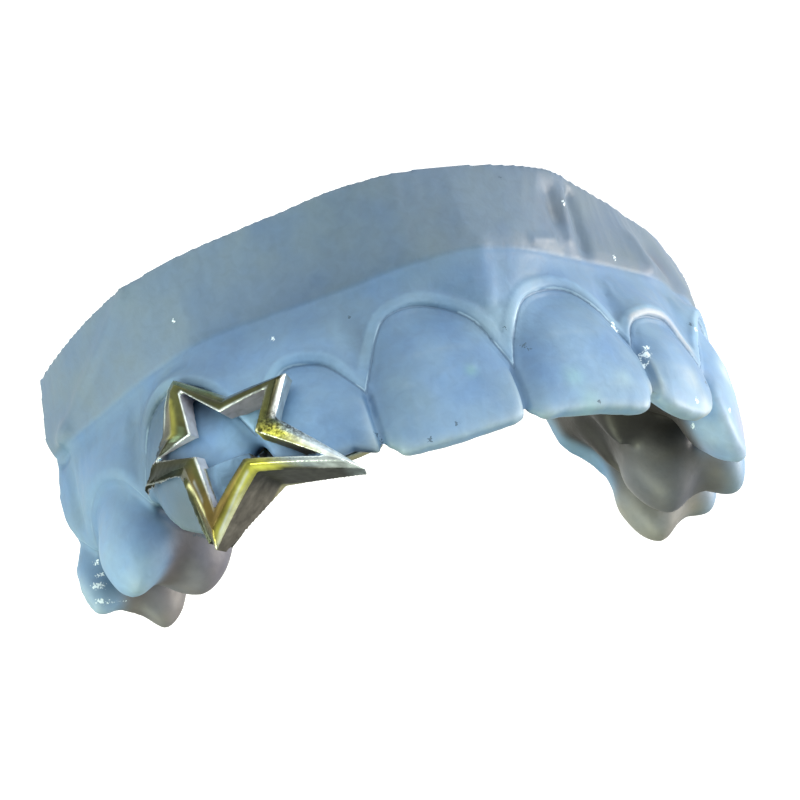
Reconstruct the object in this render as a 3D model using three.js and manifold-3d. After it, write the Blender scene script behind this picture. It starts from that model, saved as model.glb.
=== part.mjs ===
// A star-shaped grill for one upper canine, seated on the dental cast that carries it.
// Millimetres, +Z up with the teeth pointing up, the front facing -Y and the wearer's right at +X.

import * as THREE from 'three';
import { mergeVertices } from 'three/addons/utils/BufferGeometryUtils.js';
import Module from 'manifold-3d';

const wasm = await Module();
wasm.setup();

// Arch: the line through the incisal edges and the outer cusps, seen from above
const archHalfWidth = 22.8;
const archDepth = 28;
const archFullness = 2.4;
const archSamples = 800;

// Teeth: the central incisor gives the sizes that the others are shares of
const incisorWidth = 8.75;
const incisorHeight = 8.5;
const incisorDepth = 7;
const ringPoints = 24;
const marginalRidge = 0.55;
const biteStart = 0.2;

// Cast
const castHeight = 17.5;
const ledgeHeight = 5.5;
const ledgeStep = 0.45;
const ledgeRound = 0.3;
const rimReach = 2;
const wallBow = 0.55;
const gumRoll = 0.5;
const rollDepth = 0.9;
const rollRound = 0.14;
const papillaSet = 0.7;
const gumThickness = 0.25;
const gumSeat = 2.2;
const marginSharpness = 2.2;
const palatalMarginDrop = 6.7;
const palatalBulge = 9;
const palatalBulgeDrop = 9;
const footDepth = 9.8;
const footHeight = 3.3;
const stationsPerTooth = 8;
const endReserve = 1.5;
const rightEnd = { side: 1, short: 5.84, lean: 6 };
const leftEnd = { side: -1, short: 2.44, lean: 0 };

// Grill
const seatClearance = 0.3;
const metalThickness = 0.5;
const starReach = 8.2;
const starRelief = 2.3;
const starPastContact = 1.2;
const starDrop = 4.5;
const starFaceBow = 0.28;
const stationsPerEdge = 7;
const backingHeight = 6;
const backingOverlap = 0.35;
const backingReach = 9;
const backingBehind = 3;
const lateralBackingDrop = 0.25;
const capDrop = 3.2;
const blockSteps = 14;

const crownForms = {
  incisor: {
    roundness: 2.7,
    mesial: 0.06,
    distal: 0.11,
    sharpness: 5,
    groove: 0,
    rings: [
      { level: -0.3, width: 0.62, front: -0.2, back: -0.8 },
      { level: 0, width: 0.8, front: -0.12, back: -0.92 },
      { level: 0.18, width: 0.9, front: -0.02, back: -0.9 },
      { level: 0.4, width: 0.97, front: 0.06, back: -0.7 },
      { level: 0.62, width: 1.01, front: 0.08, back: -0.46 },
      { level: 0.82, width: 1.01, front: 0.07, back: -0.28 },
      { level: 0.95, width: 0.98, front: 0.04, back: -0.18 },
      { level: 1, width: 0.92, front: 0.01, back: -0.14 },
    ],
  },
  lateral: {
    roundness: 2.5,
    mesial: 0.08,
    distal: 0.26,
    sharpness: 3,
    groove: 0,
    rings: [
      { level: -0.3, width: 0.62, front: -0.2, back: -0.8 },
      { level: 0, width: 0.78, front: -0.1, back: -0.92 },
      { level: 0.18, width: 0.88, front: 0, back: -0.9 },
      { level: 0.4, width: 0.96, front: 0.07, back: -0.7 },
      { level: 0.62, width: 1.01, front: 0.09, back: -0.46 },
      { level: 0.82, width: 1, front: 0.07, back: -0.27 },
      { level: 0.95, width: 0.94, front: 0.04, back: -0.17 },
      { level: 1, width: 0.84, front: 0.01, back: -0.12 },
    ],
  },
  canine: {
    roundness: 2.1,
    mesial: 0.38,
    distal: 0.32,
    sharpness: 1.25,
    groove: 0,
    rings: [
      { level: -0.3, width: 0.6, front: -0.08, back: -0.84 },
      { level: 0, width: 0.78, front: 0.01, back: -0.94 },
      { level: 0.18, width: 0.9, front: 0.08, back: -0.9 },
      { level: 0.4, width: 0.98, front: 0.12, back: -0.68 },
      { level: 0.6, width: 1, front: 0.11, back: -0.44 },
      { level: 0.8, width: 0.95, front: 0.07, back: -0.25 },
      { level: 0.93, width: 0.8, front: 0.03, back: -0.13 },
      { level: 1, width: 0.56, front: 0, back: -0.06 },
    ],
  },
  premolar: {
    roundness: 2.3,
    mesial: 0.22,
    distal: 0.26,
    sharpness: 1.5,
    groove: 0.26,
    cuspSpan: 0.62,
    rings: [
      { level: -0.3, width: 0.66, front: -0.06, back: -0.86 },
      { level: 0, width: 0.82, front: 0.02, back: -0.93 },
      { level: 0.2, width: 0.94, front: 0.09, back: -0.94 },
      { level: 0.42, width: 1.01, front: 0.12, back: -0.92 },
      { level: 0.65, width: 1.01, front: 0.1, back: -0.87 },
      { level: 0.86, width: 0.9, front: 0.05, back: -0.77 },
      { level: 1, width: 0.66, front: -0.02, back: -0.62 },
      { level: 1, width: 0.3, front: -0.18, back: -0.46 },
    ],
  },
};

// One side of the arch from the midline back, as shares of the central incisor's sizes: sunk and papilla
// are how far the cusp and the gum at the front contact lie below the cast's top, and inner is the inner
// cusp's extra height
const toothRows = [
  { form: crownForms.incisor, width: 1, height: 0.97, depth: 1, sunk: 0.145, inner: 0, papilla: 0.41 },
  { form: crownForms.lateral, width: 0.84, height: 0.72, depth: 0.88, sunk: 0.2, inner: 0, papilla: 0.58 },
  { form: crownForms.canine, width: 1, height: 1.08, depth: 1.14, sunk: 0.05, inner: 0, papilla: 0.54 },
  { form: crownForms.premolar, width: 0.85, height: 0.84, depth: 1.12, sunk: 0.02, inner: 0, papilla: 0.5 },
  { form: crownForms.premolar, width: 0.6, height: 0.66, depth: 1, sunk: 0.16, inner: 0.24, papilla: 0.5 },
];

// Outline of the base, as shares of half the cast's length along the arch and of the rim's reach
const rimRows = [
  { along: -1, rim: 3, ledge: 1.1 },
  { along: -0.84, rim: 1.9, ledge: 0.8 },
  { along: -0.73, rim: 0.9, ledge: 0.5 },
  { along: -0.64, rim: 0.22, ledge: 0.3 },
  { along: -0.54, rim: -0.25, ledge: 0.05 },
  { along: -0.43, rim: -0.62, ledge: -0.35 },
  { along: -0.32, rim: -0.5, ledge: -0.65 },
  { along: -0.24, rim: -0.15, ledge: -0.6 },
  { along: -0.16, rim: 0.5, ledge: -0.35 },
  { along: -0.07, rim: 0.76, ledge: 0.35 },
  { along: 0.02, rim: 0.92, ledge: 0.62 },
  { along: 0.11, rim: 0.9, ledge: 0.2 },
  { along: 0.2, rim: 0.6, ledge: -0.5 },
  { along: 0.28, rim: 0.15, ledge: -0.75 },
  { along: 0.37, rim: 0.05, ledge: -0.6 },
  { along: 0.47, rim: 0.26, ledge: -0.25 },
  { along: 0.57, rim: 0.4, ledge: -0.3 },
  { along: 0.7, rim: 0.3, ledge: -0.2 },
  { along: 0.84, rim: 0.3, ledge: 0.3 },
  { along: 1, rim: 0.35, ledge: 0.6 },
];

// Star, counted round from the gum-side tip behind the canine: turns in degrees from the midline side,
// reaches as shares of the star's reach and heights over the arch line as shares of its relief
const starRows = [
  { turn: -121, reach: 0.72, lift: 0.42, root: -1, ridgeTurn: -115, ridge: 0.53, ridgeLift: 0.76, foot: 0.46 },
  { turn: -114, reach: 0.73, lift: 0.44, root: -1, ridgeTurn: -112, ridge: 0.53, ridgeLift: 0.76, foot: 0.46 },
  { turn: -72, reach: 0.32, lift: 0.66, root: -1, ridgeTurn: -75, ridge: 0.19, ridgeLift: 0.95, foot: 0.18 },
  { turn: -29, reach: 0.6, lift: 0.66, root: -0.9, ridgeTurn: -28, ridge: 0.44, ridgeLift: 0.95, foot: 0.37 },
  { turn: 0, reach: 0.38, lift: 0.7, root: -0.9, ridgeTurn: 16, ridge: 0.255, ridgeLift: 1, foot: 0.22 },
  { turn: 33, reach: 0.99, lift: 0.26, root: -0.16, ridgeTurn: 33, ridge: 0.76, ridgeLift: 0.74, foot: 0.5 },
  { turn: 63, reach: 0.36, lift: 0.7, root: -0.9, ridgeTurn: 60, ridge: 0.255, ridgeLift: 1, foot: 0.23 },
  { turn: 116, reach: 0.75, lift: 0.4, root: 0, ridgeTurn: 116, ridge: 0.48, ridgeLift: 0.7, foot: 0.38 },
  { turn: 172, reach: 0.44, lift: 0.52, root: -0.9, ridgeTurn: 173, ridge: 0.21, ridgeLift: 0.87, foot: 0.2 },
  { turn: 188, reach: 1, lift: 0, root: -0.4, ridgeTurn: 195, ridge: 0.63, ridgeLift: 0.52, foot: 0.45 },
  { turn: 213, reach: 0.56, lift: 0.52, root: -1, ridgeTurn: 215, ridge: 0.25, ridgeLift: 0.87, foot: 0.24 },
];

class ArchCurve extends THREE.Curve {
  constructor() {
    super();
    this.arcLengthDivisions = archSamples;
  }

  getPoint(t, target = new THREE.Vector3()) {
    const turn = (t - 0.5) * Math.PI;
    const across = roundedBox(Math.sin(turn), archFullness);
    const ahead = roundedBox(Math.cos(turn), archFullness);
    return target.set(archHalfWidth * across, archDepth * (1 - ahead), 0);
  }
}

const arch = new ArchCurve();
const archLength = arch.getLength();

// Frame on the arch line at a distance along it from the midline; the line runs on straight past its ends
function archFrame(along) {
  const place = THREE.MathUtils.clamp(along, -archLength / 2, archLength / 2);
  const share = 0.5 + place / archLength;
  const ahead = arch.getTangentAt(share);
  return {
    point: arch.getPointAt(share).addScaledVector(ahead, along - place),
    ahead,
    outward: new THREE.Vector3(ahead.y, -ahead.x, 0),
  };
}

// Point at a distance along the arch, outward from it and above the base
function onArch(along, out, up) {
  const { point, outward } = archFrame(along);
  return point.addScaledVector(outward, out).setZ(up);
}

// Closed body through rows of points: joined end to end, or closed by a flat or a bridged cap at both ends
function skinRows(rows, ends) {
  const count = rows[0].length;
  const joined = ends === 'joined';
  const cap = ends === 'flat' ? flatCap : bridgedCap;
  const positions = rows.flat().flatMap((point) => [point.x, point.y, point.z]);
  const index = [];
  const spans = joined ? rows.length : rows.length - 1;
  for (let row = 0; row < spans; row++) {
    const next = (row + 1) % rows.length;
    for (let i = 0; i < count; i++) {
      const j = (i + 1) % count;
      const [a, b, c, d] = [row * count + i, row * count + j, next * count + j, next * count + i];
      index.push(a, b, c, a, c, d);
    }
  }
  if (!joined) {
    const last = (rows.length - 1) * count;
    index.push(...cap(rows[0]).flatMap(([a, b, c]) => [a, c, b]));
    index.push(...cap(rows[rows.length - 1]).flatMap(([a, b, c]) => [last + a, last + b, last + c]));
  }
  const geometry = new THREE.BufferGeometry();
  geometry.setAttribute('position', new THREE.Float32BufferAttribute(positions, 3));
  geometry.setIndex(index);
  return geometry;
}

// Triangles over an end row that lies in one plane
function flatCap(row) {
  const normal = new THREE.Vector3();
  row.forEach((point, i) => {
    const next = row[(i + 1) % row.length];
    normal.add(point.clone().sub(row[0]).cross(next.clone().sub(row[0])));
  });
  const turn = new THREE.Quaternion().setFromUnitVectors(normal.normalize(), new THREE.Vector3(0, 0, 1));
  const flat = row.map((point) => {
    const turned = point.clone().applyQuaternion(turn);
    return new THREE.Vector2(turned.x, turned.y);
  });
  return THREE.ShapeUtils.triangulateShape(flat, []);
}

// Triangles over an end ring from each point to the one across from it, which keeps a crest along the ring
function bridgedCap(row) {
  const count = row.length;
  const triangles = [];
  for (let i = 0; i < count / 2; i++) {
    const [a, b, c, d] = [i, i + 1, count - i - 1, (count - i) % count];
    triangles.push([a, b, c], [a, c, d]);
  }
  return triangles.filter(([i, j, k]) => i !== j && j !== k && k !== i);
}

// Solid for joining and cutting, turned right side out
function toSolid(geometry) {
  const bare = mergeVertices(geometry);
  const mesh = new wasm.Mesh({
    numProp: 3,
    vertProperties: new Float32Array(bare.attributes.position.array),
    triVerts: new Uint32Array(bare.index.array),
  });
  const solid = new wasm.Manifold(mesh);
  if (solid.volume() > 0) {
    return solid;
  }
  const flipped = new Uint32Array(bare.index.array);
  for (let i = 0; i < flipped.length; i += 3) {
    [flipped[i + 1], flipped[i + 2]] = [flipped[i + 2], flipped[i + 1]];
  }
  mesh.triVerts = flipped;
  return new wasm.Manifold(mesh);
}

function toGeometry(solid) {
  const mesh = solid.getMesh();
  const geometry = new THREE.BufferGeometry();
  geometry.setAttribute('position', new THREE.BufferAttribute(mesh.vertProperties, 3));
  geometry.setIndex(new THREE.BufferAttribute(mesh.triVerts, 1));
  return geometry;
}

// The teeth of one side with their places along the arch, side +1 on the wearer's right
function placeTeeth(side) {
  let edge = 0;
  return toothRows.map((row) => {
    const width = row.width * incisorWidth;
    const centre = edge + width / 2;
    edge += width;
    const height = row.height * incisorHeight;
    const tip = castHeight - row.sunk * incisorHeight;
    return {
      ...row,
      width,
      height,
      side,
      along: side * centre,
      margin: tip - height,
      depth: row.depth * incisorDepth,
      papilla: castHeight - row.papilla * incisorHeight,
    };
  });
}

const rightTeeth = placeTeeth(1);
const teeth = [...placeTeeth(-1).reverse(), ...rightTeeth];
const [, lateral, canine] = rightTeeth;
const contact = lateral.along + lateral.width / 2;
const lastTooth = rightTeeth[rightTeeth.length - 1];
const castHalf = lastTooth.along + lastTooth.width / 2 + endReserve;

// How far the biting surface lies below the cusp, as a share of the crown's height
function biteDrop(form, backward, inward) {
  const corner = backward > 0 ? form.distal : form.mesial;
  const slope = corner * Math.abs(backward) ** form.sharpness;
  const valley = form.groove * Math.sin(Math.PI * inward) ** 2 * (1 - marginalRidge * Math.abs(backward));
  return slope + valley;
}

// One crown on its own straight axes, grown evenly where room is left round it
function crownSolid(tooth, grow) {
  const { form, width, height, depth } = tooth;
  const { point, ahead, outward } = archFrame(tooth.along);
  const rows = form.rings.map((ring) => {
    const halfWidth = ring.width * width / 2 + grow;
    const halfDepth = (ring.front - ring.back) * depth / 2 + grow;
    const middle = (ring.front + ring.back) * depth / 2;
    const weight = THREE.MathUtils.smoothstep(ring.level, biteStart, 1);
    return Array.from({ length: ringPoints }, (_, i) => {
      const turn = 2 * Math.PI * i / ringPoints;
      const across = roundedBox(Math.cos(turn), form.roundness);
      const through = roundedBox(Math.sin(turn), form.roundness);
      const out = middle + halfDepth * through;
      const inward = form.cuspSpan ? THREE.MathUtils.clamp(-out / (form.cuspSpan * depth), 0, 1) : 0;
      const drop = biteDrop(form, across * ring.width * tooth.side, inward) - tooth.inner * inward;
      const up = tooth.margin + height * (ring.level - drop * weight) + grow * weight;
      return point.clone()
        .addScaledVector(ahead, halfWidth * across)
        .addScaledVector(outward, out)
        .setZ(up);
    });
  });
  return toSolid(skinRows(rows, 'bridged'));
}

// Sine or cosine bent towards a rounded box
function roundedBox(value, roundness) {
  return Math.sign(value) * Math.abs(value) ** (2 / roundness);
}

// Linear reading of a table's column at a share along the arch
function readRows(rows, column, along) {
  const last = rows.length - 1;
  const after = rows.findIndex((row) => row.along >= along);
  const high = after < 0 ? last : Math.max(after, 1);
  const low = high - 1;
  const share = (along - rows[low].along) / (rows[high].along - rows[low].along);
  return THREE.MathUtils.lerp(rows[low][column], rows[high][column], THREE.MathUtils.clamp(share, 0, 1));
}

// The tooth at a place along the arch, and how far the place is from its middle, 0 to 1
function toothAt(along) {
  const past = (tooth) => Math.abs(tooth.along - along) - tooth.width / 2;
  const tooth = teeth.reduce((best, other) => (past(other) < past(best) ? other : best));
  return { tooth, aside: Math.min(1, Math.abs(along - tooth.along) / (tooth.width / 2)) };
}

// Height of the gum at the contact on this side of the tooth
function papillaBeside(tooth, along) {
  const backward = (along - tooth.along) * tooth.side > 0;
  const behind = teeth[teeth.indexOf(tooth) + tooth.side];
  return backward && behind ? behind.papilla : tooth.papilla;
}

// Closed outline of gum and base across the arch at one place: [out, up] pairs from the rim round the teeth
function gumSection(along, grow) {
  const { tooth, aside } = toothAt(along);
  const neck = tooth.form.rings[1];
  const front = neck.front * tooth.depth;
  const back = neck.back * tooth.depth;
  const round = (1 - aside ** tooth.form.roundness) ** (1 / tooth.form.roundness);
  const rim = rimReach * readRows(rimRows, 'rim', along / castHalf);
  const ledge = rimReach * readRows(rimRows, 'ledge', along / castHalf);
  const papilla = papillaBeside(tooth, along);
  const climb = Math.min(1, aside + grow / (tooth.width / 2)) ** marginSharpness;
  const margin = THREE.MathUtils.lerp(tooth.margin, papilla, climb) + grow / 2;
  const palatal = THREE.MathUtils.lerp(castHeight - palatalMarginDrop, papilla, climb) + grow / 2;
  const edge = front - papillaSet * (1 - round) + gumThickness;
  const outer = [
    [rim, 0],
    [THREE.MathUtils.lerp(rim, ledge + ledgeStep, wallBow), ledgeHeight / 2],
    [ledge + ledgeStep, ledgeHeight - ledgeRound],
    [ledge, ledgeHeight + ledgeRound],
    [THREE.MathUtils.lerp(ledge, edge + gumRoll, wallBow), (ledgeHeight + margin) / 2],
    [edge + gumRoll, margin - rollDepth],
    [edge + gumRoll - rollRound, margin - rollRound],
  ];
  const inner = [
    [back - rollRound, palatal - rollRound],
    [back - gumRoll, palatal - rollDepth],
    [-palatalBulge, castHeight - palatalBulgeDrop],
    [-footDepth, footHeight],
    [-footDepth, 0],
  ];
  return [
    ...outer.map(([out, up]) => [out + grow, up]),
    [edge - gumSeat, margin + grow / 2],
    [back + gumSeat, palatal + grow / 2],
    ...inner.map(([out, up]) => [out - grow, up]),
  ];
}

// Base and gum without the crowns
function gumSolid(grow) {
  const places = [-castHalf];
  for (const tooth of teeth) {
    for (let i = 0; i < stationsPerTooth; i++) {
      places.push(tooth.along + tooth.width * (i / stationsPerTooth - 0.5));
    }
  }
  places.push(castHalf);
  const rows = places.map((along) => (
    gumSection(along, grow).map(([out, up]) => onArch(along, out, up))
  ));
  return toSolid(skinRows(rows, 'flat'));
}

// Block that trims the cast flat near its last teeth, leaning back as it rises
function endCutter(end) {
  const { point, ahead, outward } = archFrame(end.side * (castHalf - end.short));
  const up = new THREE.Vector3(0, 0, 1);
  const size = archHalfWidth + castHeight;
  const geometry = new THREE.BoxGeometry(size, size, 2 * size);
  geometry.deleteAttribute('normal');
  geometry.deleteAttribute('uv');
  geometry.translate(0, end.side * size / 2, 0);
  geometry.rotateX(-end.side * THREE.MathUtils.degToRad(end.lean));
  geometry.applyMatrix4(new THREE.Matrix4().makeBasis(outward, ahead, up).setPosition(point));
  return toSolid(geometry);
}

function castSolid(grow) {
  return teeth.reduce((whole, tooth) => whole.add(crownSolid(tooth, grow)), gumSolid(grow));
}

function trimmedCast() {
  return castSolid(0).subtract(endCutter(rightEnd)).subtract(endCutter(leftEnd));
}

// Open star lying on the arch: a ring of sections from the outer wall over the ridge to the inner wall
function starSolid() {
  const rows = [];
  starRows.forEach((row, i) => {
    const next = starRows[(i + 1) % starRows.length];
    for (let step = 0; step < stationsPerEdge; step++) {
      const share = step / stationsPerEdge;
      const from = starSection(row);
      const to = starSection(next);
      rows.push(from.map((point, k) => {
        const mixed = point.clone().lerp(to[k], share);
        return onArch(mixed.x, mixed.y, mixed.z);
      }));
    }
  });
  return toSolid(skinRows(rows, 'joined'));
}

// The star's section at one corner, as points of (along, out, up)
function starSection(row) {
  const outer = starPoint(row.turn, row.reach, row.lift * starRelief);
  const ridge = starPoint(row.ridgeTurn, row.ridge, row.ridgeLift * starRelief);
  const face = outer.clone().lerp(ridge, 0.5);
  face.y += starFaceBow;
  const foot = starPoint(row.ridgeTurn, row.foot, 0);
  return [
    outer.clone().setY(row.root * starRelief),
    outer,
    face,
    ridge,
    foot,
    foot.clone().setY(row.root * starRelief),
  ];
}

function starPoint(degrees, reach, out) {
  const turn = THREE.MathUtils.degToRad(degrees);
  return new THREE.Vector3(
    contact + starPastContact - reach * starReach * Math.cos(turn),
    out,
    castHeight - starDrop + reach * starReach * Math.sin(turn),
  );
}

// Curved block that follows the arch
function archBlock({ from, to, front, back, low, high }) {
  const rows = Array.from({ length: blockSteps + 1 }, (_, i) => {
    const along = THREE.MathUtils.lerp(from, to, i / blockSteps);
    const corners = [[front, low], [front, high], [back, high], [back, low]];
    return corners.map(([out, up]) => onArch(along, out, up));
  });
  return toSolid(skinRows(rows, 'flat'));
}

// Metal behind the canine and the lateral incisor, and over the canine's edge below the star's lower arms
function backingSolid() {
  const shell = seatClearance + metalThickness;
  const skin = crownSolid(lateral, shell).add(crownSolid(canine, shell));
  const lateralEdge = lateral.margin + lateral.height;
  const low = castHeight - backingHeight;
  const back = -backingReach;
  const regions = [
    {
      from: lateral.along - lateral.width / 2 + backingOverlap,
      to: contact + backingOverlap,
      front: -backingOverlap,
      back,
      low,
      high: lateralEdge - lateralBackingDrop,
    },
    {
      from: contact - backingOverlap,
      to: canine.along + backingBehind,
      front: -backingOverlap,
      back,
      low,
      high: castHeight - capDrop,
    },
    {
      from: contact + backingOverlap,
      to: canine.along,
      front: starRelief,
      back,
      low: castHeight - capDrop - backingOverlap,
      high: castHeight + shell,
    },
  ];
  return skin.intersect(regions.map(archBlock).reduce((whole, block) => whole.add(block)));
}

// The largest body of a solid, without the slivers that a cut leaves
function largestBody(solid) {
  return solid.decompose().sort((a, b) => b.volume() - a.volume())[0];
}

function grillSolid() {
  return largestBody(starSolid().add(backingSolid()).subtract(castSolid(seatClearance)));
}

const stoneBlue = new THREE.MeshStandardMaterial({ color: 0x8ea5c0, roughness: 0.55, metalness: 0 });
const paleGold = new THREE.MeshStandardMaterial({ color: 0xcfc48a, roughness: 0.18, metalness: 1 });

const group = new THREE.Group();

const cast = new THREE.Mesh(toGeometry(trimmedCast()), stoneBlue);
cast.name = 'dental_cast';
const grill = new THREE.Mesh(toGeometry(grillSolid()), paleGold);
grill.name = 'star_grill';
group.add(cast, grill);

// Origin under the middle of the whole
const box = new THREE.Box3().setFromObject(group);
const middle = box.getCenter(new THREE.Vector3());
group.position.set(-middle.x, -middle.y, -box.min.z);

export default group;
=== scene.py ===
# Star grillz on a dental cast: surfaces, floor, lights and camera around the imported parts
import math

import bpy
import numpy as np
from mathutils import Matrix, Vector
from mathutils.kdtree import KDTree


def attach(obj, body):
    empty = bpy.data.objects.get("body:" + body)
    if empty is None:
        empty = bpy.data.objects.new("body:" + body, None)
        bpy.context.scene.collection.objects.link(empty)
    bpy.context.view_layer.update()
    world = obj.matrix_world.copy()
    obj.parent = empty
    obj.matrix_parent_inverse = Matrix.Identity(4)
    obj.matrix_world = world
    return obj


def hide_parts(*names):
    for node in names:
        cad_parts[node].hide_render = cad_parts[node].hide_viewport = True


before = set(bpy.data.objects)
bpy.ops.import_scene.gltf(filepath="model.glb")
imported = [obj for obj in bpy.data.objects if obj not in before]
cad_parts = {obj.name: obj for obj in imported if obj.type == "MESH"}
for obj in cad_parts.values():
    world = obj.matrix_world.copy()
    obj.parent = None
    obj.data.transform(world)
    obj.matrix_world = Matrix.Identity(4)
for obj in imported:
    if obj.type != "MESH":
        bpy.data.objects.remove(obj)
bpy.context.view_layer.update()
mm = 0.001
print("parts loaded:", ", ".join(sorted(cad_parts)))


# small helpers for meshes

def pickNone():
    bpy.ops.object.select_all(action="DESELECT")


def pickOnly(piece):
    pickNone()
    piece.select_set(True)
    bpy.context.view_layer.objects.active = piece


def copyOfNode(nodeName, pieceName):
    # the part's own mesh stays as it is; the copy gets its loose triangles joined
    piece = bpy.data.objects.new(pieceName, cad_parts[nodeName].data.copy())
    bpy.context.scene.collection.objects.link(piece)
    piece.data.materials.clear()
    pickOnly(piece)
    bpy.ops.object.mode_set(mode="EDIT")
    bpy.ops.mesh.select_all(action="SELECT")
    bpy.ops.mesh.remove_doubles(threshold=0.002 * mm)
    bpy.ops.object.mode_set(mode="OBJECT")
    return piece


def applyModifier(piece, kind, **settings):
    pickOnly(piece)
    modifier = piece.modifiers.new(kind.lower(), kind)
    for name, value in settings.items():
        setattr(modifier, name, value)
    bpy.ops.object.modifier_apply(modifier=modifier.name)


def readVectors(piece, field="co"):
    values = np.zeros(len(piece.data.vertices) * 3)
    piece.data.vertices.foreach_get(field, values)
    return values.reshape(-1, 3)


def writePlaces(piece, places):
    piece.data.vertices.foreach_set("co", places.astype(np.float32).ravel())
    piece.data.update()


def writeValue(piece, name, values):
    attribute = piece.data.attributes.new(name, "FLOAT", "POINT")
    attribute.data.foreach_set("value", values.astype(np.float32))


def writeTone(piece, tone):
    attribute = piece.data.attributes.new("tone", "FLOAT_COLOR", "POINT")
    colors = np.column_stack([tone, np.ones(len(tone))])
    attribute.data.foreach_set("color", colors.astype(np.float32).ravel())


def triangleCount(piece):
    return sum(len(face.vertices) - 2 for face in piece.data.polygons)


def readEdges(piece):
    edges = np.zeros(len(piece.data.edges) * 2, int)
    piece.data.edges.foreach_get("vertices", edges)
    return edges.reshape(-1, 2)


def relax(places, edges, factor, weight=1.0):
    # one step of each point towards the middle of its neighbours; a factor below 0 steps back
    ends = np.concatenate([edges[:, 0], edges[:, 1]])
    others = np.concatenate([edges[:, 1], edges[:, 0]])
    count = np.bincount(ends, minlength=len(places))
    middle = np.stack([
        np.bincount(ends, weights=places[others, axis], minlength=len(places)) for axis in range(3)
    ], 1) / np.maximum(count, 1)[:, None]
    step = factor * (middle - places)
    return places + step * (weight[:, None] if isinstance(weight, np.ndarray) else weight)


def polish(places, edges, rounds):
    # takes facets off and keeps the size: each step in is followed by a slightly longer one out
    for _ in range(rounds):
        places = relax(places, edges, 0.5)
        places = relax(places, edges, -0.52)
    return places


def smoothStep(low, high, values):
    share = np.clip((values - low) / (high - low), 0, 1)
    return share * share * (3 - 2 * share)


def bell(values, middle, width):
    return np.exp(-((values - middle) / width) ** 2)


def valueAt(along, rows):
    # value between the rows of (along, value)
    return np.interp(along, *np.array(rows).T)


def toneAt(values, stops, tones):
    # colour between the stops, as on a ramp
    return np.stack([np.interp(values, stops, [tone[k] for tone in tones]) for k in range(3)], 1)


def blendTone(tone, color, share):
    return tone + (np.array(color) - tone) * np.clip(share, 0, 1)[:, None]


# the arch, in millimetres: a rounded-box curve through the biting edges

archShape = {"halfWidth": 22.8, "depth": 28.0, "fullness": 2.4, "shiftX": 2.1427, "shiftY": -11.0416}


def archCurve():
    turns = np.linspace(-math.pi / 2, math.pi / 2, 6001)
    power = 2 / archShape["fullness"]
    x = archShape["halfWidth"] * np.sign(np.sin(turns)) * np.abs(np.sin(turns)) ** power
    y = archShape["depth"] * (1 - np.abs(np.cos(turns)) ** power)
    points = np.stack([x, y], 1)
    lengths = np.concatenate([[0], np.cumsum(np.linalg.norm(np.diff(points, axis=0), axis=1))])
    middle = np.interp(0, turns, lengths)
    evenly = np.linspace(0, lengths[-1], 900)
    points = np.stack([np.interp(evenly, lengths, points[:, axis]) for axis in range(2)], 1)
    return points + [archShape["shiftX"], archShape["shiftY"]], evenly - middle


archPoints, archLengths = archCurve()
archAhead = np.gradient(archPoints, axis=0)
archAhead /= np.linalg.norm(archAhead, axis=1)[:, None]
archOutward = np.stack([archAhead[:, 1], -archAhead[:, 0]], 1)


def alongArch(places):
    # each point's distance along the arch from the midline, out from it, and height, all in millimetres
    flat = places[:, :2] / mm
    nearest = np.concatenate([
        np.argmin(((part[:, None, :] - archPoints[None]) ** 2).sum(2), axis=1)
        for part in np.array_split(flat, max(1, len(flat) // 4000))
    ])
    offset = flat - archPoints[nearest]
    along = archLengths[nearest] + (offset * archAhead[nearest]).sum(1)
    out = (offset * archOutward[nearest]).sum(1)
    return along, out, places[:, 2] / mm


def archVectors(along, vectors):
    # the arch's own direction, ahead or outward, at each distance along it
    return np.stack([np.interp(along, archLengths, vectors[:, axis]) for axis in range(2)], 1)


# dental cast; every length is in millimetres

cast = {
    "slot": "cast_resin",
    "voxel": 0.17,
    "polishing": 8,
    "kept": 0.62,
    "roundRounds": 60,
    "fillRounds": 90,
    "plumpTeeth": 0.4,
    "plumpCanine": 0.7,
    "plumpRounds": 10,
    "bulgeRounds": 30,
    "contactDepth": 0.42,
    "contactWidth": 0.2,
    "ledgeHeight": 5.62,
    "creaseDepth": 0.09,
    "creaseWidth": 0.1,
    "collarHeight": 0.1,
    "collarEnd": 0.62,
    "ledgeGroove": 0.07,
    "edgeStart": 12.6,
    "edgeEnd": 15.4,
    "insideFrom": -3.2,
    "outsideFrom": -2.0,
    # painted shade that darkens the crowns towards their necks
    "neckShadeTone": (0.095, 0.17, 0.27),
    "crownTone": (0.15, 0.25, 0.375),
    "gumTone": (0.102, 0.175, 0.27),
    # painted highlight on the gum's collar
    "collarHighlightTone": (0.135, 0.225, 0.325),
    # rim: greyer than the gum, and darker as painted shade
    "rimTone": (0.098, 0.145, 0.2),
    "rollTone": (0.36, 0.36, 0.38),
    # painted shade inside the arch: between the inner cusps, over the inner sides, deepest behind the front
    # teeth
    "valleyShadeTone": (0.075, 0.065, 0.065),
    "insideShadeTone": (0.065, 0.075, 0.085),
    "deepShadeTone": (0.014, 0.012, 0.01),
    # painted highlight on the crowns' edges, which get little light
    "edgeHighlightTone": (0.27, 0.34, 0.38),
    # where painted light lifts the canine inside the star
    "framedAlong": 17.3,
    "framedUp": 13.0,
    "framedLift": 1.35,
}

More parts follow.
